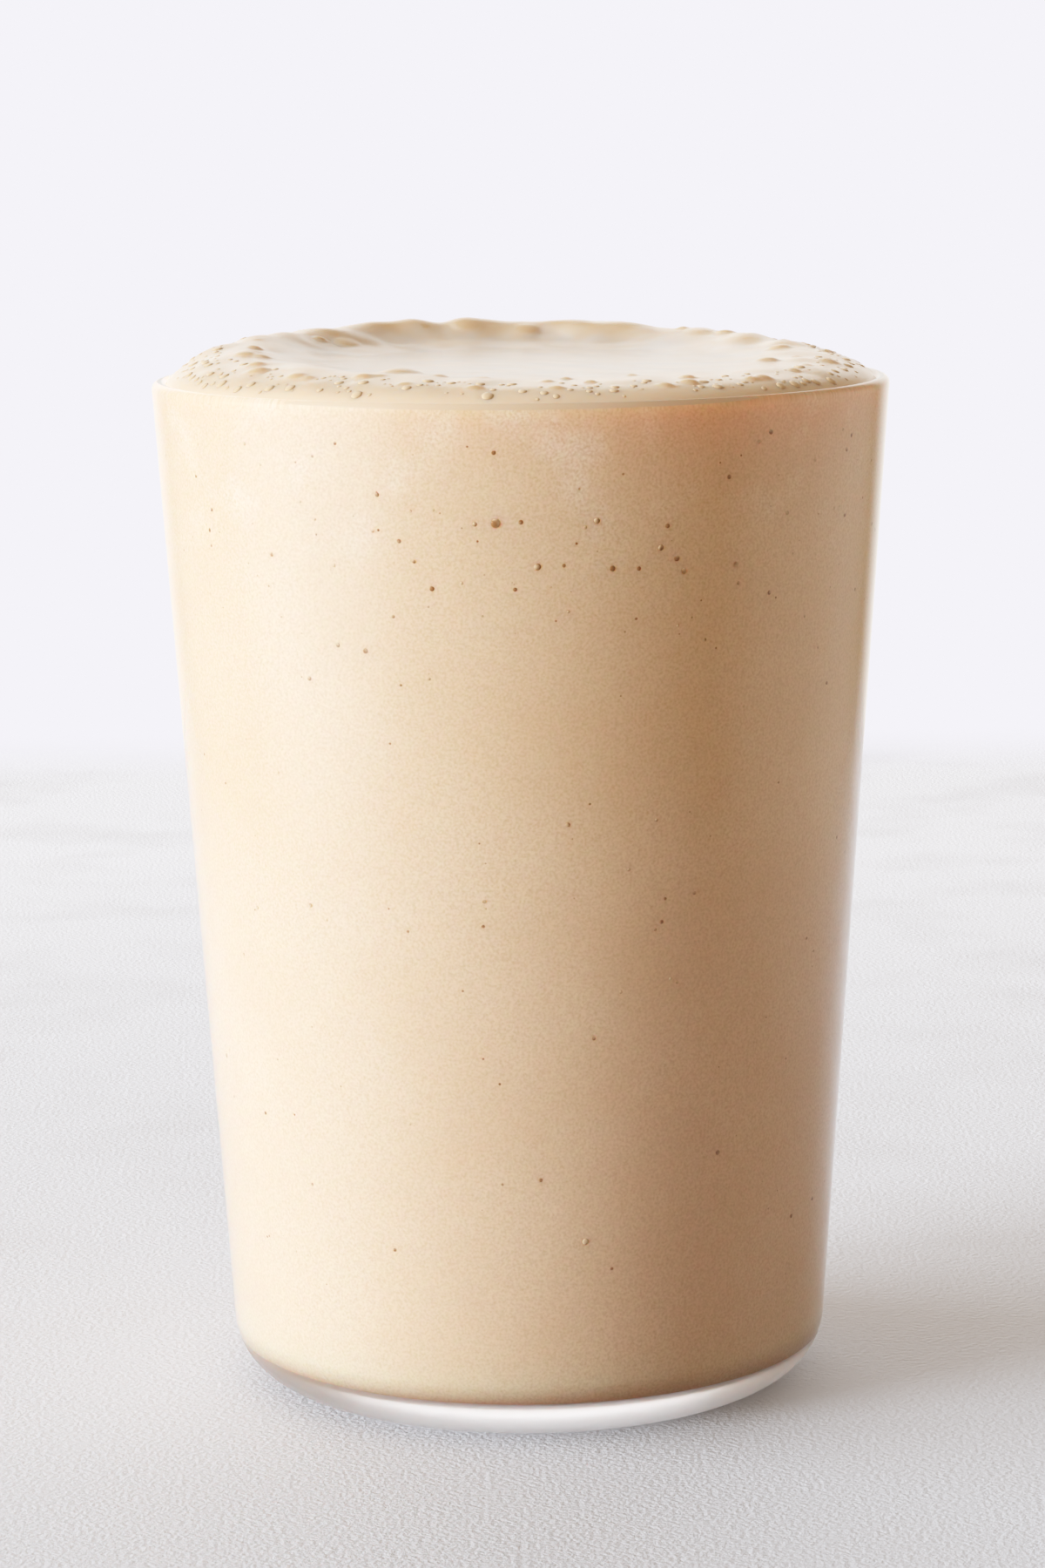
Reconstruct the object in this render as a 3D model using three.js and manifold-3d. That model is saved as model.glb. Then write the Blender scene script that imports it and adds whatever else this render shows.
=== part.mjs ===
// A glass of blended iced coffee: a tapered half-litre tumbler with a rounded heel and a thick clear
// base, filled to the brim, with a low cap of froth that stands a little above the rim.
// Millimetres, +Z up. The origin is the middle of the foot, on the surface the glass stands on,
// and -Y is the side that faces the viewer.
import * as THREE from "three";
import { mergeVertices } from "three/addons/utils/BufferGeometryUtils.js";
import Module from "manifold-3d";

// Driving dimensions of the tumbler.
const RIM_DIAMETER = 88;
const GLASS_HEIGHT = 121.6;
const FOOT_DIAMETER = 71.6; // of the outer wall's straight line, carried down to the floor
const HEEL_RADIUS = 7.6; // outer rounding from wall to foot
const RIM_WALL = 1.8; // wall thickness at the rim, which is rounded to a full bead
const LOW_WALL = 2.4; // wall thickness just above the base
const BASE_THICKNESS = 4.6;
const INNER_HEEL_RADIUS = 3.2;

// Driving dimensions of the contents.
const GAP = 0.3; // clearance between neighbouring pieces
const FROTH_DEPTH = 4; // of the froth below the rim
const CONTACT_DROP = 0.9; // below the rim, where the froth's skin leaves the wall
const PLATEAU_RISE = 2.7; // of the froth's flat middle, above its contact line
const BANK_RISE = 3; // of the foam bank along the back and left, above the flat middle
const BANK_BEARING = THREE.MathUtils.degToRad(112); // where the bank is highest, from +X towards +Y
const BANK_REACH = 0.8; // the bank's crest, as a share of the froth's radius
const BANK_WIDTH = 0.15; // and its half width, likewise
const SHOULDER_POWER = 14; // a higher power turns the froth down to the wall more sharply

// How finely the round surfaces are faceted.
const SEGMENTS = 64;
const ARC_STEPS = 6;
const RIM_STEPS = 8;
const FROTH_RINGS = 16;

// The bubbles that stand out most: place and radius, from the front round to the back.
const LARGE_BUBBLES = [
  [-13.4, -26.5, 2.9],
  [-17.6, -30.6, 1.5],
  [-9.2, -30.2, 1.3],
  [-25.4, -27.5, 1.4],
  [-30.2, -21.6, 1.5],
  [-5.1, -38.6, 1.1],
  [4, -38.9, 1],
  [5.1, -30.9, 0.8],
  [16.2, -35.6, 1.1],
  [18.9, -33.2, 1.3],
  [26.2, -28.6, 1.1],
  [28.8, -9.8, 1.7],
  [36.2, -9.3, 1.6],
  [31.2, 4.2, 1.8],
  [-32, -8.3, 1.9],
  [-21.2, 17.8, 1.8],
  [-6.5, 30.5, 2.2],
  [0.8, 29.7, 1.7],
];

// The rest of the larger bubbles crowd into a ring near the wall.
const RING_BUBBLES = 32;
const RING_REACH = [0.7, 0.92];
const RING_RADIUS = [0.75, 1.5];
const BUBBLE_FLATTENING = 0.75; // height of a bubble beside its width
const BUBBLE_SINK = 0.45; // of a bubble's height, from its middle down into the froth
const GOLDEN_ANGLE = Math.PI * (3 - Math.sqrt(5));

// Where a straight wall's line stands at a height, from its radius at two heights.
function wallLine(lowZ, lowRadius, highZ, highRadius) {
  const slope = (highRadius - lowRadius) / (highZ - lowZ);
  const lean = Math.atan(slope);
  return { lean, radiusAt: (z) => lowRadius + slope * (z - lowZ) };
}

const outerWall = wallLine(0, FOOT_DIAMETER / 2, GLASS_HEIGHT, RIM_DIAMETER / 2);
const innerWall = wallLine(
  BASE_THICKNESS,
  outerWall.radiusAt(BASE_THICKNESS) - LOW_WALL,
  GLASS_HEIGHT,
  RIM_DIAMETER / 2 - RIM_WALL,
);

// The rounding between a level floor and a wall's line: points from the floor up to the wall.
function heelArc(wall, floorZ, radius) {
  const { lean } = wall;
  const centreZ = floorZ + radius;
  const centreX = wall.radiusAt(floorZ) - (radius * (1 - Math.sin(lean))) / Math.cos(lean);
  const start = -Math.PI / 2;
  const points = [];
  for (let i = 0; i <= ARC_STEPS; i += 1) {
    const angle = start + (-lean - start) * (i / ARC_STEPS);
    points.push(
      new THREE.Vector2(centreX + radius * Math.cos(angle), centreZ + radius * Math.sin(angle)),
    );
  }
  return points;
}

// The rim's bead: half a turn from the outer wall over the top to the inner wall.
function rimBead() {
  const radius = RIM_WALL / 2;
  const centreZ = GLASS_HEIGHT - radius;
  const centreX = (outerWall.radiusAt(centreZ) + innerWall.radiusAt(centreZ)) / 2;
  const points = [];
  for (let i = 0; i <= RIM_STEPS; i += 1) {
    const angle = Math.PI * (i / RIM_STEPS);
    points.push(
      new THREE.Vector2(centreX + radius * Math.cos(angle), centreZ + radius * Math.sin(angle)),
    );
  }
  return points;
}

// A profile turned about the Z axis, with only its positions kept.
function turned(profile) {
  const lathe = new THREE.LatheGeometry(profile, SEGMENTS);
  lathe.rotateX(Math.PI / 2);
  lathe.deleteAttribute("normal");
  lathe.deleteAttribute("uv");
  return lathe;
}

function onAxis(z) {
  return new THREE.Vector2(0, z);
}

function tumblerGeometry() {
  const outside = heelArc(outerWall, 0, HEEL_RADIUS);
  const inside = heelArc(innerWall, BASE_THICKNESS, INNER_HEEL_RADIUS).reverse();
  return turned([onAxis(0), ...outside, ...rimBead(), ...inside, onAxis(BASE_THICKNESS)]);
}

// The drink stops short of the glass by the gap all round.
const drinkWall = { lean: innerWall.lean, radiusAt: (z) => innerWall.radiusAt(z) - GAP };
const drinkFloor = BASE_THICKNESS + GAP;
const frothFloor = GLASS_HEIGHT - FROTH_DEPTH;
const drinkTop = frothFloor - GAP;

function drinkGeometry() {
  const side = heelArc(drinkWall, drinkFloor, INNER_HEEL_RADIUS);
  const topEdge = new THREE.Vector2(drinkWall.radiusAt(drinkTop), drinkTop);
  return turned([onAxis(drinkFloor), ...side, topEdge, onAxis(drinkTop)]);
}

const contactZ = GLASS_HEIGHT - CONTACT_DROP;
const frothRadius = drinkWall.radiusAt(contactZ);

// Height of the froth's skin: a flat middle, a foam bank along one side, and a rounded shoulder that
// turns down to the contact line at the wall.
function frothTop(x, y) {
  const reach = Math.min(Math.hypot(x, y) / frothRadius, 1);
  const shoulder = Math.sqrt(1 - reach ** SHOULDER_POWER);
  const facing = (1 + Math.cos(Math.atan2(y, x) - BANK_BEARING)) / 2;
  const bank = BANK_RISE * facing * Math.exp(-(((reach - BANK_REACH) / BANK_WIDTH) ** 2));
  return contactZ + shoulder * (PLATEAU_RISE + bank);
}

// The froth without its bubbles: a disc whose upper rings are lifted to the froth's skin. The rings
// crowd towards the wall, where the skin turns down.
function bareFroth() {
  const bottomEdge = new THREE.Vector2(drinkWall.radiusAt(frothFloor), frothFloor);
  const rings = [];
  for (let i = FROTH_RINGS; i >= 0; i -= 1) {
    const reach = Math.sin((Math.PI / 2) * (i / FROTH_RINGS));
    rings.push(new THREE.Vector2(frothRadius * reach, contactZ));
  }
  const froth = turned([onAxis(frothFloor), bottomEdge, ...rings]);
  const position = froth.getAttribute("position");
  for (let i = 0; i < position.count; i += 1) {
    if (position.getZ(i) > (frothFloor + contactZ) / 2) {
      position.setZ(i, frothTop(position.getX(i), position.getY(i)));
    }
  }
  return froth;
}

// A fixed draw between 0 and 1 for the bubble of this number.
function draw(number, salt) {
  const wave = Math.sin(number * 12.9898 + salt * 78.233) * 43758.5453;
  return wave - Math.floor(wave);
}

function between([low, high], share) {
  return low + (high - low) * share;
}

// Places and radii of the ring's bubbles, turned by the golden angle from one to the next.
function ringBubbles() {
  const bubbles = [];
  for (let i = 0; i < RING_BUBBLES; i += 1) {
    const reach = frothRadius * between(RING_REACH, draw(i, 1));
    const bearing = GOLDEN_ANGLE * i;
    const radius = between(RING_RADIUS, draw(i, 2) ** 2);
    bubbles.push([reach * Math.cos(bearing), reach * Math.sin(bearing), radius]);
  }
  return bubbles;
}

function bubbleGeometry([x, y, radius]) {
  const height = radius * BUBBLE_FLATTENING;
  const bubble = new THREE.IcosahedronGeometry(1, 1);
  bubble.deleteAttribute("normal");
  bubble.deleteAttribute("uv");
  bubble.scale(radius, radius, height);
  bubble.translate(x, y, frothTop(x, y) - height * BUBBLE_SINK);
  return bubble;
}

const wasm = await Module();
wasm.setup();

function toSolid(geometry) {
  const merged = mergeVertices(geometry);
  const index = merged.getIndex().array;
  const triangles = [];
  for (let i = 0; i < index.length; i += 3) {
    const [a, b, c] = [index[i], index[i + 1], index[i + 2]];
    if (a !== b && b !== c && c !== a) {
      triangles.push(a, b, c);
    }
  }
  const mesh = new wasm.Mesh({
    numProp: 3,
    vertProperties: new Float32Array(merged.getAttribute("position").array),
    triVerts: new Uint32Array(triangles),
  });
  return new wasm.Manifold(mesh);
}

function toGeometry(solid) {
  const mesh = solid.getMesh();
  const geometry = new THREE.BufferGeometry();
  geometry.setAttribute("position", new THREE.BufferAttribute(mesh.vertProperties, 3));
  geometry.setIndex(new THREE.BufferAttribute(mesh.triVerts, 1));
  return geometry;
}

function frothGeometry() {
  let froth = toSolid(bareFroth());
  for (const bubble of [...LARGE_BUBBLES, ...ringBubbles()]) {
    froth = froth.add(toSolid(bubbleGeometry(bubble)));
  }
  return toGeometry(froth);
}

function piece(name, geometry, color, roughness) {
  geometry.computeVertexNormals();
  const material = new THREE.MeshStandardMaterial({ color, roughness, metalness: 0 });
  const mesh = new THREE.Mesh(geometry, material);
  mesh.name = name;
  return mesh;
}

const tumbler = piece("glass_tumbler", tumblerGeometry(), 0xe9edf0, 0.05);
tumbler.material.transparent = true;
tumbler.material.opacity = 0.3;

const glassOfCoffee = new THREE.Group();
glassOfCoffee.add(tumbler);
glassOfCoffee.add(piece("blended_coffee", drinkGeometry(), 0xdcbf9c, 0.4));
glassOfCoffee.add(piece("froth_cap", frothGeometry(), 0xe6d2b9, 0.3));

export default glassOfCoffee;
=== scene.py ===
import math

import bpy
import numpy as np
from mathutils import Matrix, Vector, noise


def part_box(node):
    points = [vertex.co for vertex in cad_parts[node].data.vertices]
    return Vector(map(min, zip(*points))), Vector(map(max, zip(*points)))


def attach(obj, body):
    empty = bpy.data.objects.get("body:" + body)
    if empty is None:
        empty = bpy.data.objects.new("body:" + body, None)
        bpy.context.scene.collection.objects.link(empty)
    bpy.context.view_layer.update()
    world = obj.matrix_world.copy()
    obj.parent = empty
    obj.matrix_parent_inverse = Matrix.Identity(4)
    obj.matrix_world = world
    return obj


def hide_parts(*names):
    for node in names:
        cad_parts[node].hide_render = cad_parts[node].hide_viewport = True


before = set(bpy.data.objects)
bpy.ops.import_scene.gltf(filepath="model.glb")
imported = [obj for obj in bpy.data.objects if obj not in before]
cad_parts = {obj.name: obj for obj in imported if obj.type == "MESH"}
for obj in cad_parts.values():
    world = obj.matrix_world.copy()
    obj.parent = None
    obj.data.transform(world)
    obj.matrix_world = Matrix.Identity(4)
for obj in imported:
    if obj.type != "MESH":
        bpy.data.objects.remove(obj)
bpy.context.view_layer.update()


# Tumbler: a tapered drinking glass of clear soda-lime glass, pressed in one piece, with a polished bead
# at the rim, a rounded heel and a thick base. It stands on its flat foot.
GLASS_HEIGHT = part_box("glass_tumbler")[1].z
RIM_RADIUS = 0.044
FOOT_RADIUS = 0.0358  # of the outer wall's straight line, carried down to the floor
HEEL_RADIUS = 0.0076  # outer rounding from wall to foot
RIM_WALL = 0.0018  # wall thickness at the rim, which is rounded to a full bead
LOW_WALL = 0.0024  # wall thickness just above the base
BASE_THICKNESS = 0.0046
INNER_HEEL_RADIUS = 0.0032
TURN_SEGMENTS = 192
ARC_STEPS = 20
SHARP_EDGE = math.radians(40)  # an edge that turns more than this stays crisp
GLASS_IOR = 1.5
GLASS_TINT = (0.975, 0.985, 0.985, 1)
POLISHED_ROUGHNESS = 0.0
PRESSED_TINT = (0.79, 0.80, 0.85, 1)
PRESSED_ROUGHNESS = 0.32
PRESSED_HEIGHT = 0.0055  # below this the base is dull from the mould


class WallLine:
    """A straight leaning wall: its radius at any height."""

    def __init__(self, low_z, low_radius, high_z, high_radius, shift=0.0):
        self.low_z = low_z
        self.low_radius = low_radius + shift
        self.slope = (high_radius - low_radius) / (high_z - low_z)
        self.lean = math.atan(self.slope)

    def at(self, z):
        return self.low_radius + self.slope * (z - self.low_z)


def inner_wall(shift=0.0):
    """The inside of the glass's wall, moved outwards by a shift."""
    outer_at_base = FOOT_RADIUS + (RIM_RADIUS - FOOT_RADIUS) * BASE_THICKNESS / GLASS_HEIGHT
    return WallLine(BASE_THICKNESS, outer_at_base - LOW_WALL, GLASS_HEIGHT, RIM_RADIUS - RIM_WALL, shift)


def arc(centre, radius, start, end):
    turns = [start + (end - start) * i / ARC_STEPS for i in range(ARC_STEPS + 1)]
    return [(centre[0] + radius * math.cos(t), centre[1] + radius * math.sin(t)) for t in turns]


def heel_arc(wall, floor_z, radius):
    """The rounding from a level floor up to a leaning wall."""
    centre_r = wall.at(floor_z) - radius * (1 - math.sin(wall.lean)) / math.cos(wall.lean)
    return arc((centre_r, floor_z + radius), radius, -math.pi / 2, -wall.lean)


def tumbler_profile():
    outer = WallLine(0, FOOT_RADIUS, GLASS_HEIGHT, RIM_RADIUS)
    inner = inner_wall()
    bead = RIM_WALL / 2
    bead_z = GLASS_HEIGHT - bead
    bead_centre = ((outer.at(bead_z) + inner.at(bead_z)) / 2, bead_z)
    return [
        (0, 0),
        *heel_arc(outer, 0, HEEL_RADIUS),
        *arc(bead_centre, bead, 0, math.pi),
        *reversed(heel_arc(inner, BASE_THICKNESS, INNER_HEEL_RADIUS)),
        (0, BASE_THICKNESS),
    ]


def turned_mesh(name, profile, segments):
    """A closed mesh turned about Z from a profile that runs from the axis back to the axis."""
    bearings = np.arange(segments) * (2 * math.pi / segments)
    rings = profile[1:-1]
    points = [(0, 0, profile[0][1])]
    for radius, z in rings:
        points += [(radius * math.cos(b), radius * math.sin(b), z) for b in bearings]
    points.append((0, 0, profile[-1][1]))
    last = len(points) - 1
    faces = []
    for j in range(segments):
        after = (j + 1) % segments
        faces.append((0, 1 + after, 1 + j))
        for k in range(len(rings) - 1):
            low = 1 + k * segments
            high = low + segments
            faces.append((low + j, low + after, high + after, high + j))
        top = 1 + (len(rings) - 1) * segments
        faces.append((last, top + j, top + after))
    mesh = bpy.data.meshes.new(name)
    mesh.from_pydata(points, [], faces)
    mesh.shade_smooth()
    mesh.set_sharp_from_angle(angle=SHARP_EDGE)
    return mesh


def new_piece(name, mesh):
    piece = bpy.data.objects.new(name, mesh)
    bpy.context.scene.collection.objects.link(piece)
    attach(piece, "root")
    return piece


def new_material(name, finish):
    """A node material, with a finish set on the sockets of its shader."""
    material = bpy.data.materials.new(name)
    material.use_nodes = True
    nodes = material.node_tree.nodes
    shader = nodes["Principled BSDF"]
    for socket, value in finish.items():
        shader.inputs[socket].default_value = value
    return material, nodes, material.node_tree.links, shader


def glass(name, tint, roughness):
    """Glass that bends what is seen through it but lets the studio's light reach the drink."""
    finish = {"Base Color": tint, "Roughness": roughness, "IOR": GLASS_IOR, "Transmission Weight": 1.0}
    material, nodes, links, shader = new_material(name, finish)
    path = nodes.new("ShaderNodeLightPath")
    see_through = nodes.new("ShaderNodeBsdfTransparent")
    surface = shader.outputs[0]
    for kind in ("Is Shadow Ray", "Is Diffuse Ray"):
        mix = nodes.new("ShaderNodeMixShader")
        links.new(path.outputs[kind], mix.inputs[0])
        links.new(surface, mix.inputs[1])
        links.new(see_through.outputs[0], mix.inputs[2])
        surface = mix.outputs[0]
    links.new(surface, nodes["Material Output"].inputs["Surface"])
    return material


tumbler_mesh = turned_mesh("tumbler", tumbler_profile(), TURN_SEGMENTS)
tumbler = new_piece("tumbler", tumbler_mesh)
tumbler.data.materials.append(glass("clear glass", GLASS_TINT, POLISHED_ROUGHNESS))
tumbler.data.materials.append(glass("pressed base", PRESSED_TINT, PRESSED_ROUGHNESS))
for face in tumbler.data.polygons:
    face.material_index = int(face.center.z < PRESSED_HEIGHT)
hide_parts("glass_tumbler")


# Drink: milky blended iced coffee, poured to the brim, under the froth that blending leaves. It wets the
# glass, so its side reaches a hair into the wall, and a film of air stays only under its flat floor. The
# froth is flat in the middle, banks up along the back and left, and swells over its larger bubbles.
MILLIMETRE = 0.001
WETTING = 0.00012  # how far the side reaches into the wall
FLOOR_FILM = 0.00005  # of air, between the drink and the glass's floor
CONTACT_DROP = 0.0009  # below the rim, where the froth's skin leaves the wall
CONTACT_Z = GLASS_HEIGHT - CONTACT_DROP
CONTACT_SLACK = 0.00001  # the skin's points are told from the side's by their height, to within this
PLATEAU_RISE = 0.0027  # of the froth's flat middle, above its contact line
BANK_RISE = 0.003  # of the foam bank, above the flat middle
BANK_BEARING = math.radians(112)  # where the bank is highest, from +X towards +Y
BANK_REACH = 0.8  # the bank's crest, as a share of the froth's radius
BANK_WIDTH = 0.15  # and its half width, likewise
SHOULDER_POWER = 14  # a higher power turns the froth down to the wall more sharply
FROTH_RINGS = 120
SIDE_STEPS = 8
DRINK_SEGMENTS = 512

# The larger bubbles: those that stand out most, by place and radius in millimetres, and a ring of others.
LARGE_BUBBLES = (
    (-13.4, -26.5, 2.9), (-17.6, -30.6, 1.5), (-9.2, -30.2, 1.3), (-25.4, -27.5, 1.4), (-30.2, -21.6, 1.5),
    (-5.1, -38.6, 1.1), (4, -38.9, 1), (5.1, -30.9, 0.8), (16.2, -35.6, 1.1), (18.9, -33.2, 1.3),
    (26.2, -28.6, 1.1), (28.8, -9.8, 1.7), (36.2, -9.3, 1.6), (31.2, 4.2, 1.8), (-32, -8.3, 1.9),
    (-21.2, 17.8, 1.8), (-6.5, 30.5, 2.2), (0.8, 29.7, 1.7),
)
RING_BUBBLES = 32
RING_REACH = (0.7, 0.92)
RING_RADIUS = (0.00075, 0.0015)
RING_SALT = 1
SMALLNESS = 2  # a higher power draws more small bubbles among the large
DRAW_STEP = 12.9898  # a draw is the fraction of a tall sine wave, at steps for its number and its salt
DRAW_SALT_STEP = 78.233
DRAW_HEIGHT = 43758.5453
GOLDEN_ANGLE = math.pi * (3 - math.sqrt(5))
BUBBLE_FLATTENING = 0.5  # height of a bubble beside its width
BUBBLE_SINK = 0.45  # of a bubble's height, down into the froth
BUBBLE_BLEND = 0.2  # of its radius, over which it rounds into the skin
BUBBLE_SHADE = 0.85  # share of brown painted shade on a bubble, for the darker hollow under its film
BUBBLE_SHADE_REACH = (1.05, 0.7)  # in radii from its middle, where the painted shade starts and where it is full
BUBBLE_REACH = 1.3  # in radii from its middle, past which a bubble changes nothing
BANK_FLATTENING = 0.4  # how much lower the bubbles on the bank are

# Lumps, ripples and brown film on the skin, and the painted sheen of its pale middle. Each noise has its
# scale and its layer.
FOAM_REACH = (0.45, 0.75)  # shares of the radius over which the flat middle turns to foam
FOAM_SHARE = (0.35, 1.0)  # how foamy it is across from the bank, and on it
STILL_EDGE = 1 / 14  # share of the radius next to the wall where lumps and foam die away
LUMP_NOISE = (210, 3.5)
LUMP_RISE = 0.0007
LUMP_DIP = -0.3  # the deepest hollow between lumps, as a share of their rise
RIPPLE_NOISE = (330, 7.5)
RIPPLE_RISE = 0.00005
FILM_NOISE = (420, 5.5)
FILM_SHARE = 0.35  # of brown film on foam that is neither lump nor hollow
FILM_MOTTLE = 0.6  # how much the film's own noise adds to that or takes away
SHOULDER_FILM = 0.5  # share of brown film on the shoulder, at the far left
SHOULDER_REACH = (0.84, 0.94)  # shares of the radius over which that film grows
PALE_SHEEN_REACH = (0.8, 0.65)  # shares of the radius over which the skin turns to the pale middle, painted paler and greyer partly as a sheen

# Colours and finish. Each cloud has its noise's scale and detail, and the range that becomes 0 to 1.
MIX_COLOURS = (6, 7)  # the mixing node's sockets for its two colours
MIX_RESULT = 2  # and for the colour between them
COFFEE_COLOUR = (0.748, 0.546, 0.388, 1)
COFFEE_PALE = (0.785, 0.60, 0.445, 1)
COFFEE_CLOUD = (60, 3, (0.3, 0.7))
COFFEE_DEEP = (0.61, 0.43, 0.278, 1)
COFFEE_GRAIN = (3200, 2, (0.36, 0.8))
COFFEE_BLEED = (0.0125, 0.0046, 0.0022)
COFFEE_FINISH = {"Roughness": 0.45, "IOR": 1.33, "Specular IOR Level": 0.2}
CLING_COLOUR = (0.87, 0.77, 0.66, 1)
CLING_CLOUD = (130, 8, (0.52, 0.78))
CLING_HEIGHT = (0.1, 0.119)
FROTH_COLOUR = (0.715, 0.56, 0.43, 1)
# Painted sheen: the pale, greyer colour clouded over the froth's flat middle stands in for part of the
# bright backdrop's reflection on its wet top, besides the real gloss.
FROTH_PALE_AND_SHEEN = (0.54, 0.50, 0.48, 1)
FROTH_CLOUD = (160, 4, (0.3, 0.9))
# Brown of the film on the froth's lumps and shoulder, and of the painted shade over its larger bubbles.
FROTH_FILM_AND_SHADE = (0.54, 0.36, 0.21, 1)
FROTH_BLEED = (0.003, 0.0018, 0.0012)
FROTH_FINISH = {"Roughness": 0.3, "IOR": 1.38, "Coat Weight": 0.5, "Coat Roughness": 0.2, "Coat IOR": 1.45}

wetted_wall = inner_wall(WETTING)
froth_radius = wetted_wall.at(CONTACT_Z)


def draw(number, salt):
    """A fixed draw between 0 and 1 for the bubble of this number."""
    wave = math.sin(number * DRAW_STEP + salt * DRAW_SALT_STEP) * DRAW_HEIGHT
    return wave - math.floor(wave)


def between(limits, share):
    return limits[0] + (limits[1] - limits[0]) * share


def ring_spots(count, reach_limits, radius_limits, salt):
    """Places and radii of bubbles in a ring, turned by the golden angle from one to the next."""
    spots = []
    for i in range(count):
        reach = froth_radius * between(reach_limits, draw(i, salt))
        radius = between(radius_limits, draw(i, salt + 1) ** SMALLNESS)
        spots.append((reach * math.cos(GOLDEN_ANGLE * i), reach * math.sin(GOLDEN_ANGLE * i), radius))
    return spots


domes = [tuple(size * MILLIMETRE for size in bubble) for bubble in LARGE_BUBBLES]
domes += ring_spots(RING_BUBBLES, RING_REACH, RING_RADIUS, RING_SALT)


def ramp(values, limits):
    """0 before the first limit, 1 past the second, and straight between them."""
    return np.clip((values - limits[0]) / (limits[1] - limits[0]), 0, 1)


def bank_facing(x, y):
    """How far places lie towards the foam bank: 1 at its middle and 0 across from it."""
    return (1 + np.cos(np.arctan2(y, x) - BANK_BEARING)) / 2


def froth_top(x, y):
    """Height of the froth's skin without its lumps and bubbles, for arrays of places."""
    reach = np.minimum(np.hypot(x, y) / froth_radius, 1)
    shoulder = np.sqrt(1 - reach**SHOULDER_POWER)
    bank = BANK_RISE * bank_facing(x, y) * np.exp(-(((reach - BANK_REACH) / BANK_WIDTH) ** 2))
    return CONTACT_Z + shoulder * (PLATEAU_RISE + bank)


def field(x, y, scale, layer):
    """Smooth noise from about -1 to 1 over the places."""
    return np.array([noise.noise(Vector((u * scale, v * scale, layer))) for u, v in zip(x, y)])


def rounded_highest(first, second, softness):
    """The higher of two heights, rounded where they are within the softness of each other."""
    share = np.clip(0.5 + (second - first) / (2 * softness), 0, 1)
    return first + (second - first) * share + softness * share * (1 - share)


def froth_skin_shape(x, y):
    """Height of the skin with its lumps and bubbles, its share of brown film and of painted bubble shade,
    and of the pale middle with its painted sheen.
    """
    reach = np.hypot(x, y) / froth_radius
    inside = ramp(reach, (1, 1 - STILL_EDGE))
    foam = ramp(reach, FOAM_REACH) * inside * between(FOAM_SHARE, bank_facing(x, y))
    lumps = field(x, y, *LUMP_NOISE)
    ripples = field(x, y, *RIPPLE_NOISE)
    skin = froth_top(x, y)
    height = skin + foam * np.maximum(lumps, LUMP_DIP) * LUMP_RISE + inside * ripples * RIPPLE_RISE
    film_and_shade = np.clip(FILM_SHARE + lumps + FILM_MOTTLE * field(x, y, *FILM_NOISE), 0, 1) * foam
    leftward = (1 - x / froth_radius) / 2
    film_and_shade = np.maximum(film_and_shade, ramp(reach, SHOULDER_REACH) * leftward * SHOULDER_FILM)
    for u, v, radius in domes:
        away = np.hypot(x - u, y - v) / radius
        near = away < BUBBLE_REACH
        away = away[near]
        dome = np.sqrt(np.clip(1 - away**2, 0, 1)) - BUBBLE_SINK
        flatness = BUBBLE_FLATTENING * (1 - BANK_FLATTENING * bank_facing(u, v))
        crown = skin[near] + dome * radius * flatness
        swollen = rounded_highest(height[near], crown, BUBBLE_BLEND * radius)
        height[near] = np.where(away < 1, swollen, height[near])
        # Painted shade: brown over each dome, for the darker hollow under its film.
        film_and_shade[near] = np.maximum(film_and_shade[near], ramp(away, BUBBLE_SHADE_REACH) * BUBBLE_SHADE)
    return height, film_and_shade, ramp(reach, PALE_SHEEN_REACH)


def drink_mesh():
    """The whole drink as one turned body, with its upper rings lifted to the froth's skin."""
    floor_z = BASE_THICKNESS + FLOOR_FILM
    heel = heel_arc(wetted_wall, floor_z, INNER_HEEL_RADIUS)
    heel_z = heel[-1][1]
    heights = [heel_z + (CONTACT_Z - heel_z) * i / SIDE_STEPS for i in range(1, SIDE_STEPS)]
    side = [(wetted_wall.at(z), z) for z in heights]
    reaches = [math.sin(math.pi / 2 * i / FROTH_RINGS) for i in range(FROTH_RINGS, -1, -1)]
    skin = [(froth_radius * r, CONTACT_Z) for r in reaches]
    mesh = turned_mesh("drink", [(0, floor_z), *heel, *side, *skin], DRINK_SEGMENTS)
    places = np.empty(len(mesh.vertices) * 3, np.float32)
    mesh.vertices.foreach_get("co", places)
    places = places.reshape(-1, 3).astype(float)
    top = places[:, 2] > CONTACT_Z - CONTACT_SLACK
    film_and_shade = np.zeros(len(places), np.float32)
    pale_sheen_middle = np.zeros(len(places), np.float32)
    places[top, 2], film_and_shade[top], pale_sheen_middle[top] = froth_skin_shape(places[top, 0], places[top, 1])
    mesh.vertices.foreach_set("co", places.astype(np.float32).ravel())
    mesh.attributes.new("film_and_shade", "FLOAT", "POINT").data.foreach_set("value", film_and_shade)
    mesh.attributes.new("pale_sheen_middle", "FLOAT", "POINT").data.foreach_set("value", pale_sheen_middle)
    mesh.update()
    return mesh


def stretched(nodes, links, value, limits, course="LINEAR", most=1.0):
    """A value that runs from 0 to the most as another runs between its limits."""
    spread = nodes.new("ShaderNodeMapRange")
    spread.interpolation_type = course
    spread.inputs["From Min"].default_value = limits[0]
    spread.inputs["From Max"].default_value = limits[1]
    spread.inputs["To Max"].default_value = most
    links.new(value, spread.inputs["Value"])
    return spread.outputs[0]


def coordinate(nodes, links, kind, axis):
    """One axis of a piece's own places or normals."""
    split = nodes.new("ShaderNodeSeparateXYZ")
    links.new(nodes.new("ShaderNodeTexCoord").outputs[kind], split.inputs[0])
    return split.outputs[axis]


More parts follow.
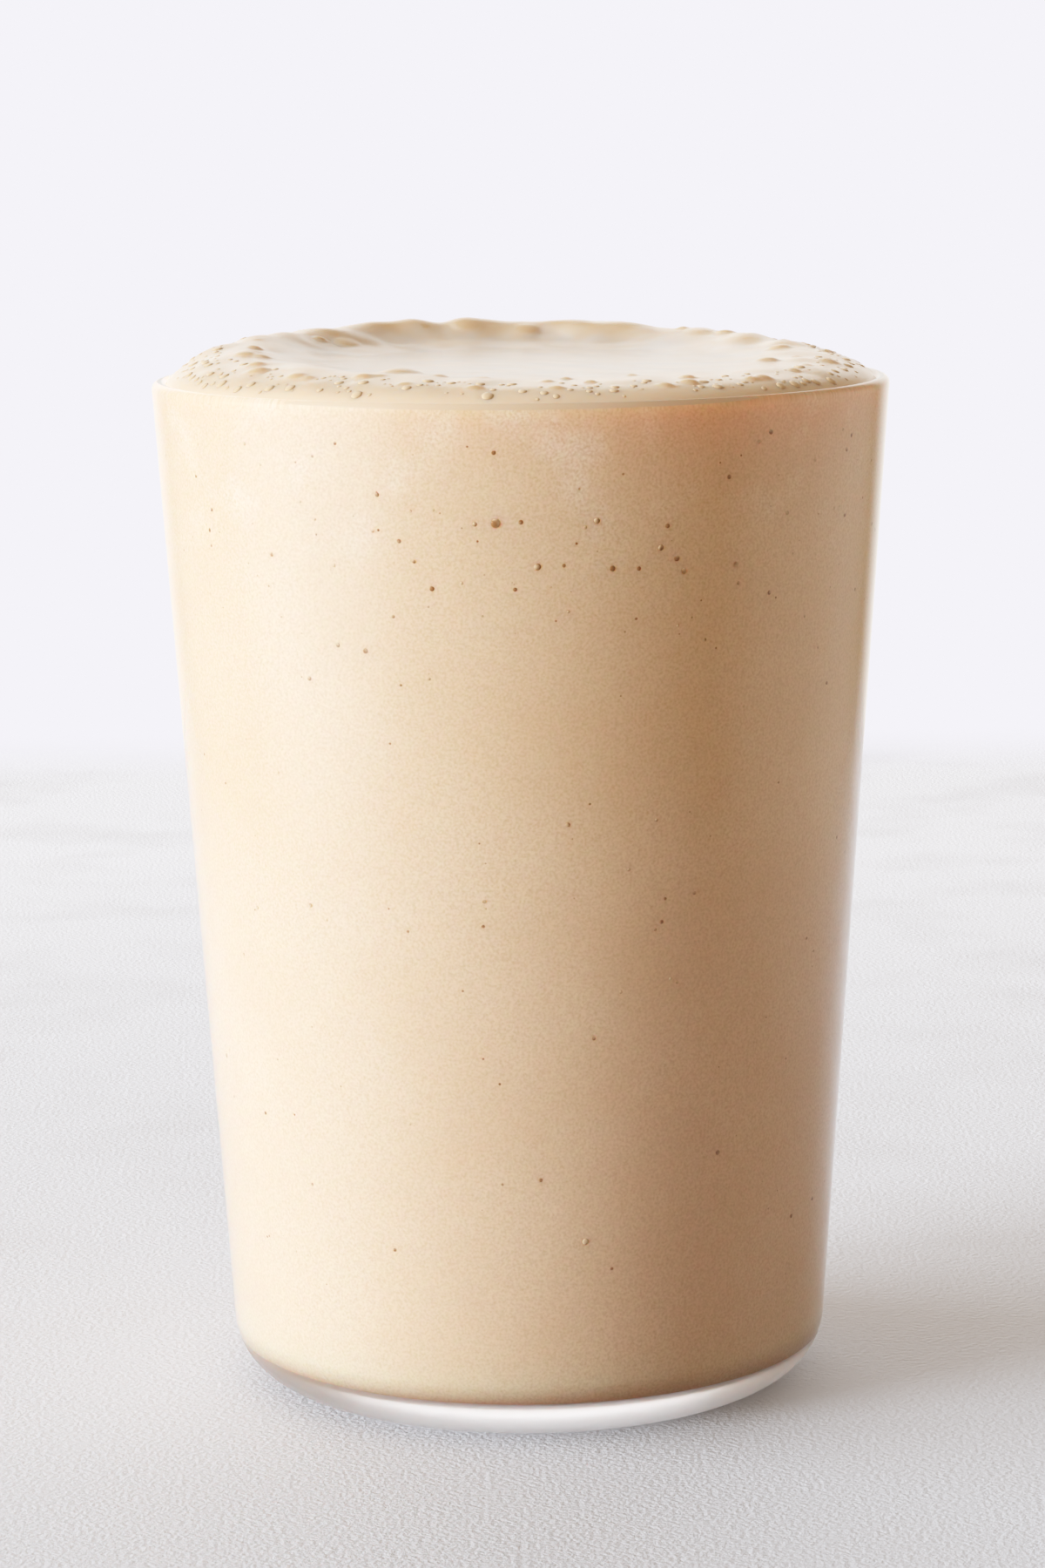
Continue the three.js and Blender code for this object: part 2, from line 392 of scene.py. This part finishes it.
def cloud(nodes, links, scale, detail, limits):
    """Noise in object space, stretched so that its limits become 0 and 1."""
    texture = nodes.new("ShaderNodeTexNoise")
    texture.inputs["Scale"].default_value = scale
    texture.inputs["Detail"].default_value = detail
    links.new(nodes.new("ShaderNodeTexCoord").outputs["Object"], texture.inputs["Vector"])
    return stretched(nodes, links, texture.outputs[0], limits)


def attribute(nodes, name):
    """A share that the mesh holds at its points."""
    share = nodes.new("ShaderNodeAttribute")
    share.attribute_name = name
    return share.outputs["Fac"]


def combined(nodes, links, operation, first, second):
    """One step of arithmetic on two values."""
    step = nodes.new("ShaderNodeMath")
    step.operation = operation
    links.new(first, step.inputs[0])
    links.new(second, step.inputs[1])
    return step.outputs[0]


def mix_colour(nodes, links, factor, first, second):
    """A colour between two, each a plain colour or an output."""
    mix = nodes.new("ShaderNodeMix")
    mix.data_type = "RGBA"
    links.new(factor, mix.inputs["Factor"])
    for socket, colour in zip(MIX_COLOURS, (first, second)):
        if isinstance(colour, tuple):
            mix.inputs[socket].default_value = colour
        else:
            links.new(colour, mix.inputs[socket])
    return mix.outputs[MIX_RESULT]


def milky(bleed):
    """Light spreads under the surface, each colour as far as the bleed says."""
    return {"Subsurface Weight": 1.0, "Subsurface Radius": bleed, "Subsurface Scale": 1.0}


def blended_coffee():
    """Faintly clouded, with froth clinging in pale patches below the rim and a fine brown grain."""
    material, nodes, links, shader = new_material("blended coffee", COFFEE_FINISH | milky(COFFEE_BLEED))
    body = mix_colour(nodes, links, cloud(nodes, links, *COFFEE_CLOUD), COFFEE_COLOUR, COFFEE_PALE)
    high = stretched(nodes, links, coordinate(nodes, links, "Object", "Z"), CLING_HEIGHT)
    cling = combined(nodes, links, "MULTIPLY", high, cloud(nodes, links, *CLING_CLOUD))
    clung = mix_colour(nodes, links, cling, body, CLING_COLOUR)
    grained = mix_colour(nodes, links, cloud(nodes, links, *COFFEE_GRAIN), clung, COFFEE_DEEP)
    links.new(grained, shader.inputs["Base Color"])
    return material


def froth_skin():
    """Tan round a pale, clouded middle that is partly a painted sheen, with brown film on lumps and brown
    painted shade on bubbles, under a wet gloss.
    """
    material, nodes, links, shader = new_material("froth skin", FROTH_FINISH | milky(FROTH_BLEED))
    pale_sheen = mix_colour(nodes, links, cloud(nodes, links, *FROTH_CLOUD), FROTH_PALE_AND_SHEEN, FROTH_COLOUR)
    body = mix_colour(nodes, links, attribute(nodes, "pale_sheen_middle"), FROTH_COLOUR, pale_sheen)
    filmed_and_shaded = mix_colour(nodes, links, attribute(nodes, "film_and_shade"), body, FROTH_FILM_AND_SHADE)
    links.new(filmed_and_shaded, shader.inputs["Base Color"])
    return material


drink = new_piece("drink", drink_mesh())
drink.data.materials.append(blended_coffee())
drink.data.materials.append(froth_skin())
for face in drink.data.polygons:
    face.material_index = int(face.center.z > CONTACT_Z)
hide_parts("blended_coffee", "froth_cap")


# Froth bubbles: the crowd of small bubbles along the edge of the froth, low domes of thin film, painted
# brown on their steep sides as shade and paler on their crowns as light. They are part of the froth and lean
# with its skin.
FINE_BUBBLES = 520
FINE_REACH = (0.84, 0.985)  # shares of the froth's radius
FINE_RADIUS = (0.0002, 0.00075)
FINE_SALT = 4
FINE_FLATTENING = 0.3
FINE_SINK = 0.15
BUBBLE_FACETS = 2  # subdivisions of each bubble's sphere
LEAN_STEP = 0.0003  # to each side of a bubble, where the lean of the skin is measured
FINE_BUBBLE_SHADE = (0.56, 0.39, 0.24, 1)
LIT_CROWN_FACING = (0.6, 1.4)  # upward part of the normal where painted shade starts to give way to painted light, and where it would be all light
FILM_FINISH = {"Roughness": 0.07, "IOR": 1.38}


def skin_height(x, y):
    return froth_skin_shape(x, y)[0]


def froth_bubble_spots():
    """Place, radius and upright of every small bubble that has room beside the larger ones."""
    free = []
    for x, y, radius in ring_spots(FINE_BUBBLES, FINE_REACH, FINE_RADIUS, FINE_SALT):
        if all(math.hypot(x - u, y - v) > radius + other for u, v, other in domes + free):
            free.append((x, y, radius))
    x, y, radius = np.array(free).T
    z = skin_height(x, y)
    lean_x = (skin_height(x + LEAN_STEP, y) - skin_height(x - LEAN_STEP, y)) / (2 * LEAN_STEP)
    lean_y = (skin_height(x, y + LEAN_STEP) - skin_height(x, y - LEAN_STEP)) / (2 * LEAN_STEP)
    spots = []
    for i in range(len(free)):
        upright = Vector((-lean_x[i], -lean_y[i], 1)).normalized()
        centre = Vector((x[i], y[i], z[i])) - upright * radius[i] * FINE_FLATTENING * FINE_SINK
        spots.append((centre, radius[i], upright))
    return spots


def bubble_tree():
    """Geometry nodes that set a flattened sphere on every point, to its radius and along its upright."""
    tree = bpy.data.node_groups.new("bubbles on points", "GeometryNodeTree")
    face = tree.interface
    face.new_socket("Geometry", in_out="OUTPUT", socket_type="NodeSocketGeometry")
    face.new_socket("Geometry", in_out="INPUT", socket_type="NodeSocketGeometry")
    face.new_socket("Flattening", in_out="INPUT", socket_type="NodeSocketFloat")
    face.new_socket("Facets", in_out="INPUT", socket_type="NodeSocketInt")
    face.new_socket("Film and shade", in_out="INPUT", socket_type="NodeSocketMaterial")
    nodes = tree.nodes
    links = tree.links
    given = nodes.new("NodeGroupInput")
    result = nodes.new("NodeGroupOutput")
    ball = nodes.new("GeometryNodeMeshIcoSphere")
    ball.inputs["Radius"].default_value = 1.0
    links.new(given.outputs["Facets"], ball.inputs["Subdivisions"])
    squash = nodes.new("ShaderNodeCombineXYZ")
    squash.inputs["X"].default_value = 1.0
    squash.inputs["Y"].default_value = 1.0
    links.new(given.outputs["Flattening"], squash.inputs["Z"])
    shape = nodes.new("GeometryNodeTransform")
    links.new(ball.outputs["Mesh"], shape.inputs["Geometry"])
    links.new(squash.outputs[0], shape.inputs["Scale"])
    radius = nodes.new("GeometryNodeInputNamedAttribute")
    radius.data_type = "FLOAT"
    radius.inputs["Name"].default_value = "radius"
    upright = nodes.new("GeometryNodeInputNamedAttribute")
    upright.data_type = "FLOAT_VECTOR"
    upright.inputs["Name"].default_value = "upright"
    turn = nodes.new("FunctionNodeAlignRotationToVector")
    turn.axis = "Z"
    links.new(upright.outputs["Attribute"], turn.inputs["Vector"])
    place = nodes.new("GeometryNodeInstanceOnPoints")
    links.new(given.outputs["Geometry"], place.inputs["Points"])
    links.new(shape.outputs["Geometry"], place.inputs["Instance"])
    links.new(turn.outputs["Rotation"], place.inputs["Rotation"])
    links.new(radius.outputs["Attribute"], place.inputs["Scale"])
    real = nodes.new("GeometryNodeRealizeInstances")
    links.new(place.outputs["Instances"], real.inputs["Geometry"])
    smooth = nodes.new("GeometryNodeSetShadeSmooth")
    links.new(real.outputs["Geometry"], smooth.inputs["Geometry"])
    # The material set here paints the bubbles' shade.
    film_and_shade = nodes.new("GeometryNodeSetMaterial")
    links.new(smooth.outputs["Geometry"], film_and_shade.inputs["Geometry"])
    links.new(given.outputs["Film and shade"], film_and_shade.inputs["Material"])
    links.new(film_and_shade.outputs["Geometry"], result.inputs["Geometry"])
    return tree


bubbles_on_points = bubble_tree()


def bubble_piece(name, spots, flattening, film_and_shade):
    """One plain mesh of bubbles, from their places, radii and uprights."""
    points = bpy.data.meshes.new(name)
    points.from_pydata([centre for centre, _, _ in spots], [], [])
    radii = [radius for _, radius, _ in spots]
    points.attributes.new("radius", "FLOAT", "POINT").data.foreach_set("value", radii)
    uprights = np.array([upright for _, _, upright in spots], np.float32)
    points.attributes.new("upright", "FLOAT_VECTOR", "POINT").data.foreach_set("vector", uprights.ravel())
    maker = bpy.data.objects.new(name, points)
    bpy.context.scene.collection.objects.link(maker)
    modifier = maker.modifiers.new("bubbles", "NODES")
    modifier.node_group = bubbles_on_points
    values = {"Flattening": flattening, "Facets": BUBBLE_FACETS, "Film and shade": film_and_shade}
    for item in bubbles_on_points.interface.items_tree:
        if item.in_out == "INPUT" and item.name in values:
            modifier[item.identifier] = values[item.name]
    evaluated = maker.evaluated_get(bpy.context.evaluated_depsgraph_get())
    mesh = bpy.data.meshes.new_from_object(evaluated)
    mesh.name = name
    bpy.data.objects.remove(maker)
    return new_piece(name, mesh)


def bubble_shade_and_crown_light():
    """Painted shade in brown on the steep sides of a dome, and painted light on its upward crown, in the
    froth's own tan.
    """
    material, nodes, links, shader = new_material("bubble painted shade and light", FILM_FINISH)
    crown = stretched(nodes, links, coordinate(nodes, links, "Normal", "Z"), LIT_CROWN_FACING)
    links.new(mix_colour(nodes, links, crown, FINE_BUBBLE_SHADE, FROTH_COLOUR), shader.inputs["Base Color"])
    return material


bubble_piece("froth_bubbles", froth_bubble_spots(), FINE_FLATTENING, bubble_shade_and_crown_light())


# Wall bubbles: air caught against the glass as the drink was poured. Each shows as a small dark dot on the
# coffee, its darkness a painted shade of the bubble's hollow, most of them in a belt below the rim. The
# plainest are placed by bearing to the viewer's right in degrees, and by height and radius in millimetres,
# and the rest by a rule all round.
PLAIN_WALL_BUBBLES = (
    (-4, 108.3, 0.55), (-7.2, 108.2, 0.27), (-0.2, 108.4, 0.27), (11.4, 108.4, 0.34), (9.6, 107.7, 0.21),
    (22.7, 107.5, 0.27), (21.7, 105.1, 0.34), (24.4, 103.8, 0.35), (25.7, 102.3, 0.34), (35.2, 102.6, 0.34),
    (13.9, 103, 0.34), (2.3, 103.4, 0.4), (-14.1, 100.9, 0.29), (41, 117.3, 0.29), (60.8, 114.3, 0.29),
    (33.2, 112.6, 0.27), (7, 74, 0.27), (-25.6, 93.6, 0.31), (36.7, 33.6, 0.31), (10.4, 24.7, 0.39),
)
VIEWER_BEARING = -90  # in degrees from +X towards +Y
BELT_BUBBLES = 170
BELT_HEIGHT = (0.094, 0.117)
BELT_SALT = 11
SPARSE_BUBBLES = 340
SPARSE_HEIGHT = (0.016, 0.117)
SPARSE_SALT = 14
WALL_BUBBLE_RADIUS = (0.00008, 0.00028)
WALL_BUBBLE_FLATTENING = 0.3
# Painted shade: the wall bubbles' dark colour stands in for the shaded hollow of each.
AIR_HOLLOW_SHADE = (0.25, 0.115, 0.045, 1)
AIR_CLOUD = (900, 1, (0.4, 0.6))
AIR_FINISH = {"Roughness": 0.3}


def wall_bubble(bearing, z, radius):
    """Centre, radius and outward direction of a bubble on the drink's side."""
    outward = Vector((math.cos(bearing), math.sin(bearing), -wetted_wall.slope)).normalized()
    reach = wetted_wall.at(z)
    return Vector((reach * math.cos(bearing), reach * math.sin(bearing), z)), radius, outward


def scattered_wall_bubbles(count, heights, salt):
    spots = []
    for i in range(count):
        bearing = 2 * math.pi * draw(i, salt)
        z = between(heights, draw(i, salt + 1))
        radius = between(WALL_BUBBLE_RADIUS, draw(i, salt + 2) ** SMALLNESS)
        spots.append(wall_bubble(bearing, z, radius))
    return spots


def wall_bubble_spots():
    spots = []
    for rightward, z, radius in PLAIN_WALL_BUBBLES:
        bearing = math.radians(VIEWER_BEARING + rightward)
        spots.append(wall_bubble(bearing, z * MILLIMETRE, radius * MILLIMETRE))
    spots += scattered_wall_bubbles(BELT_BUBBLES, BELT_HEIGHT, BELT_SALT)
    spots += scattered_wall_bubbles(SPARSE_BUBBLES, SPARSE_HEIGHT, SPARSE_SALT)
    return spots


def air_hollow_shade():
    """Painted shade of a bubble's hollow: dark, and here and there as pale as the coffee's own grain."""
    material, nodes, links, shader = new_material("air hollow painted shade", AIR_FINISH)
    dulled = mix_colour(nodes, links, cloud(nodes, links, *AIR_CLOUD), AIR_HOLLOW_SHADE, COFFEE_DEEP)
    links.new(dulled, shader.inputs["Base Color"])
    return material


bubble_piece("wall_bubbles", wall_bubble_spots(), WALL_BUBBLE_FLATTENING, air_hollow_shade())


# Studio: a pale plaster table top that fades into a near-white backdrop, two soft lamps to the left, as from
# a window, one behind, and a dim, warm room round them. The camera stands at the photograph's place, with a
# 100 mm lens. Bearings are in degrees to the camera's left and upwards.
FLOOR_RADIUS = 0.62
FLOOR_SEGMENTS = 96
FLOOR_DROP = 0.00002  # below the foot, so that the two don't share a plane
FLOOR_FADES = (  # along each axis, where the floor starts to fade and where it is gone
    ("Y", (0.44, 0.52)),
    ("Y", (-0.09, -0.4)),
    ("X", (0.14, 0.42)),
    ("X", (-0.14, -0.42)),
)
# Painted light: the floor turns paler towards the back, as if lit more there, and its colours lean blue to
# offset the warm room light.
FLOOR_COLOUR = (0.55, 0.58, 0.655, 1)
FLOOR_FAR_PAINTED_LIGHT = (0.83, 0.87, 0.985, 1)
FLOOR_PAINTED_LIGHT_REACH = (-0.05, 0.35)  # along Y, where painted light starts to turn the floor paler and where it is full
FLOOR_SHADE = (0.558, 0.573, 0.632, 1)
FLOOR_CLOUD = (30, 6, (0.48, 1.0))
FLOOR_BOUNCE = (0.15, 0.1, 0.06, 1)  # what the floor throws back onto the glass and the drink
FLOOR_GRAIN = (1400, 4, (0.2, 0.8))
FLOOR_RELIEF = 0.00014
FLOOR_FINISH = {"Roughness": 0.7}
BACKDROP = (0.723, 0.703, 0.806, 1)
LAMP_AIM = Vector((0, 0, 0.06))
LAMP_DISTANCE = 3.0
LAMPS = (  # bearings, size, power and colour
    ((64, 13), 1.2, 60.0, (0.95, 0.98, 1.0)),
    ((95, 15), 1.6, 48.0, (0.95, 0.98, 1.0)),
    ((180, 14), 3.0, 50.0, (1.0, 1.0, 1.0)),
)
ROOM_FILL = 0.235
ROOM_TINT = (1.0, 0.75, 0.5, 1)
GLOWS = (  # bearings, strength, tint, and the cosines of the angles where it starts and where it is full
    ((180, 0), 0.62, (1.0, 1.0, 1.0, 1), (0.8, 0.98)),
    ((-105, -8), 0.34, (1.0, 1.0, 1.0, 1), (0.7, 1.0)),
    ((69, 13), 1.6, (0.95, 0.98, 1.0, 1), (0.75, 1.0)),
)
TONE_POWER = 1.3
TONE_SHOULDER = 4.0
TONE_POINTS = 24
TONE_CURVE = 3  # the one that acts on all colours alike
CAMERA_PLACE = Vector((-0.00023, -0.5211, 0.1581))
CAMERA_PITCH = math.radians(9.36)
CAMERA_ROLL = math.radians(0.55)
CAMERA_LENS = 100  # in millimetres, as is the sensor's height
CAMERA_SENSOR = 36
CAMERA_NEAREST = 0.01


def plaster():
    """Pale, mottled and finely grained, painted paler towards the back as if lit more there, and gone
    towards the edges of the floor.
    """
    material, nodes, links, shader = new_material("plaster", FLOOR_FINISH)
    far_light = stretched(nodes, links, coordinate(nodes, links, "Object", "Y"), FLOOR_PAINTED_LIGHT_REACH)
    ground = mix_colour(nodes, links, far_light, FLOOR_COLOUR, FLOOR_FAR_PAINTED_LIGHT)
    mottled = mix_colour(nodes, links, cloud(nodes, links, *FLOOR_CLOUD), ground, FLOOR_SHADE)
    bounce = nodes.new("ShaderNodeLightPath").outputs["Is Diffuse Ray"]
    links.new(mix_colour(nodes, links, bounce, mottled, FLOOR_BOUNCE), shader.inputs["Base Color"])
    bump = nodes.new("ShaderNodeBump")
    bump.inputs["Strength"].default_value = 1.0
    bump.inputs["Distance"].default_value = FLOOR_RELIEF
    links.new(cloud(nodes, links, *FLOOR_GRAIN), bump.inputs["Height"])
    links.new(bump.outputs[0], shader.inputs["Normal"])
    fades = []
    for axis, limits in FLOOR_FADES:
        place = coordinate(nodes, links, "Object", axis)
        fades.append(stretched(nodes, links, place, limits, "SMOOTHSTEP"))
    gone = fades[0]
    for fade in fades[1:]:
        gone = combined(nodes, links, "MAXIMUM", gone, fade)
    mix = nodes.new("ShaderNodeMixShader")
    links.new(gone, mix.inputs[0])
    links.new(shader.outputs[0], mix.inputs[1])
    links.new(nodes.new("ShaderNodeBsdfTransparent").outputs[0], mix.inputs[2])
    links.new(mix.outputs[0], nodes["Material Output"].inputs["Surface"])
    return material


def floor_disc():
    bearings = [2 * math.pi * i / FLOOR_SEGMENTS for i in range(FLOOR_SEGMENTS)]
    rim = [(FLOOR_RADIUS * math.cos(b), FLOOR_RADIUS * math.sin(b), 0) for b in bearings]
    mesh = bpy.data.meshes.new("floor")
    mesh.from_pydata(rim, [], [range(FLOOR_SEGMENTS)])
    mesh.materials.append(plaster())
    floor = bpy.data.objects.new("floor", mesh)
    floor.location.z = -FLOOR_DROP
    bpy.context.scene.collection.objects.link(floor)


def way_to(leftward, upward):
    """The direction of a pair of bearings."""
    side = math.radians(leftward)
    up = math.radians(upward)
    return Vector((-math.sin(side) * math.cos(up), -math.cos(side) * math.cos(up), math.sin(up)))


def glow(nodes, links, bearings, strength, tint, limits):
    """Light of one tint that grows as a ray turns towards its bearings."""
    turn = nodes.new("ShaderNodeVectorMath")
    turn.operation = "DOT_PRODUCT"
    turn.inputs[1].default_value = way_to(*bearings)
    links.new(nodes.new("ShaderNodeTexCoord").outputs["Generated"], turn.inputs[0])
    light = nodes.new("ShaderNodeBackground")
    light.inputs["Color"].default_value = tint
    grown = stretched(nodes, links, turn.outputs["Value"], limits, "SMOOTHSTEP", strength)
    links.new(grown, light.inputs["Strength"])
    return light.outputs[0]


def soft_world():
    """A dim, warm room that glows behind the glass, to its right and at the window."""
    world = bpy.data.worlds.new("soft room")
    world.use_nodes = True
    nodes = world.node_tree.nodes
    links = world.node_tree.links
    fill = nodes["Background"]
    fill.inputs["Color"].default_value = ROOM_TINT
    fill.inputs["Strength"].default_value = ROOM_FILL
    room = fill.outputs[0]
    for settings in GLOWS:
        both = nodes.new("ShaderNodeAddShader")
        links.new(room, both.inputs[0])
        links.new(glow(nodes, links, *settings), both.inputs[1])
        room = both.outputs[0]
    wall = nodes.new("ShaderNodeBackground")
    wall.inputs["Color"].default_value = BACKDROP
    path = nodes.new("ShaderNodeLightPath")
    mix = nodes.new("ShaderNodeMixShader")
    links.new(path.outputs["Is Camera Ray"], mix.inputs[0])
    links.new(room, mix.inputs[1])
    links.new(wall.outputs[0], mix.inputs[2])
    links.new(mix.outputs[0], nodes["World Output"].inputs["Surface"])
    bpy.context.scene.world = world


def lamp(bearings, size, power, colour):
    """A square lamp that is aimed at the middle of the glass and leaves no reflection."""
    light = bpy.data.lights.new("lamp", "AREA")
    light.size = size
    light.energy = power
    light.color = colour
    stand = bpy.data.objects.new("lamp", light)
    way = way_to(*bearings)
    stand.location = LAMP_AIM + way * LAMP_DISTANCE
    stand.rotation_euler = way.to_track_quat("Z", "Y").to_euler()
    stand.visible_glossy = False
    bpy.context.scene.collection.objects.link(stand)


def photo_camera():
    camera = bpy.data.cameras.new("camera")
    camera.sensor_fit = "VERTICAL"
    camera.sensor_height = CAMERA_SENSOR
    camera.lens = CAMERA_LENS
    camera.clip_start = CAMERA_NEAREST
    stand = bpy.data.objects.new("camera", camera)
    back = Vector((0, -math.cos(CAMERA_PITCH), math.sin(CAMERA_PITCH)))
    level_up = Vector((0, math.sin(CAMERA_PITCH), math.cos(CAMERA_PITCH)))
    level_right = Vector((1, 0, 0))
    right = level_right * math.cos(CAMERA_ROLL) - level_up * math.sin(CAMERA_ROLL)
    up = level_right * math.sin(CAMERA_ROLL) + level_up * math.cos(CAMERA_ROLL)
    stand.matrix_world = Matrix.Translation(CAMERA_PLACE) @ Matrix((right, up, back)).transposed().to_4x4()
    bpy.context.scene.collection.objects.link(stand)
    bpy.context.scene.camera = stand


def tone():
    """A soft shoulder, so that the bright side of the drink keeps its colour."""
    settings = bpy.context.scene.view_settings
    settings.view_transform = "Standard"
    settings.use_curve_mapping = True
    curve = settings.curve_mapping.curves[TONE_CURVE]
    for i in range(1, TONE_POINTS):
        light = (i / TONE_POINTS) ** 2
        grown = light**TONE_POWER
        curve.points.new(light, grown * (1 + TONE_SHOULDER) / (1 + TONE_SHOULDER * grown))
    settings.curve_mapping.update()


floor_disc()
soft_world()
for settings in LAMPS:
    lamp(*settings)
photo_camera()
tone()
